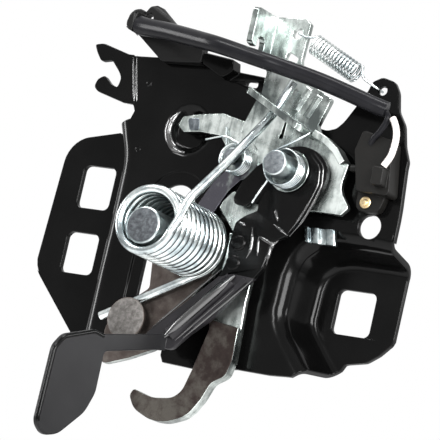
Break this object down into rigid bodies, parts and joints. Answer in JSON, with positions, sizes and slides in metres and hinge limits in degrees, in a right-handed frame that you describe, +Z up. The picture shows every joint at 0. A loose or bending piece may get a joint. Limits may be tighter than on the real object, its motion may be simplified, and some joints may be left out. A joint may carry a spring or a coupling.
{
  "type": "bonnet latch",
  "caption": "Bonnet latch on a pressed black plate, with a lifter, pawl, release lever, hooked safety catch with a finger paddle, springs, switch and lead.",
  "frame": {"origin": "rear face of the left fixing flange, on the strip between its two windows", "axes": "+X right, +Z up, +Y to the rear (out of the fixing faces); the mechanism faces -Y"},
  "size_m": [0.1624, 0.0868, 0.1757],
  "materials": {
    "black_coating": "satin black electrocoat on pressed steel",
    "zinc_plate": "bright clear zinc plating",
    "bare_steel": "zinc-phosphated steel, grey-brown and dull",
    "black_plastic": "moulded black plastic",
    "black_sleeve": "smooth black tubing",
    "white_insulation": "white wire insulation",
    "brass": "bare brass"
  },
  "bodies": {
    "frame": {"base_plate": "black_coating", "central_pin": "zinc_plate", "central_ring": "zinc_plate", "main_pin": "zinc_plate", "pawl_pin": "zinc_plate", "main_spring": "zinc_plate", "catch_spring": "zinc_plate", "pawl_spring": "zinc_plate", "return_spring": "zinc_plate", "switch_body": "black_plastic", "switch_rivet": "brass", "switch_plunger": "black_plastic", "connector": "black_plastic", "cable_sleeve": "black_sleeve", "white_wire": "white_insulation", "clip_tab": "zinc_plate"},
    "lifter_body": {"lifter": "bare_steel", "lifter_stud": "bare_steel"},
    "pawl_body": {"pawl": "zinc_plate"},
    "release_body": {"release_lever": "zinc_plate"},
    "catch_body": {"catch_lever": "black_coating", "catch_hook": "bare_steel", "catch_rivet_1": "black_coating", "catch_rivet_2": "black_coating"}
  },
  "joints": [
    {"name": "lifter_pivot", "type": "hinge", "parent": "frame", "child": "lifter_body", "pos_m": [0.0655, 0, -0.0105], "axis": [0, -1, 0], "range_deg": [0, 25], "stiffness_Nm_per_rad": 0.3, "springref_deg": -5.73, "deforming": ["main_spring"]},
    {"name": "pawl_pivot", "type": "hinge", "parent": "frame", "child": "pawl_body", "pos_m": [0.075, 0, 0.0262], "axis": [0, -1, 0], "range_deg": [0, 6], "stiffness_Nm_per_rad": 0.05, "springref_deg": -11.46, "deforming": ["pawl_spring"]},
    {"name": "release_pivot", "type": "hinge", "parent": "frame", "child": "release_body", "pos_m": [0.1003, 0, 0.023], "axis": [0, -1, 0], "range_deg": [0, 10], "stiffness_Nm_per_rad": 0.2, "springref_deg": -8.59, "deforming": ["return_spring"]},
    {"name": "catch_pivot", "type": "hinge", "parent": "frame", "child": "catch_body", "pos_m": [0.1003, 0, 0.023], "axis": [0, -1, 0], "range_deg": [0, 15], "stiffness_Nm_per_rad": 0.3, "springref_deg": -8.59, "deforming": ["catch_spring"]}
  ]
}
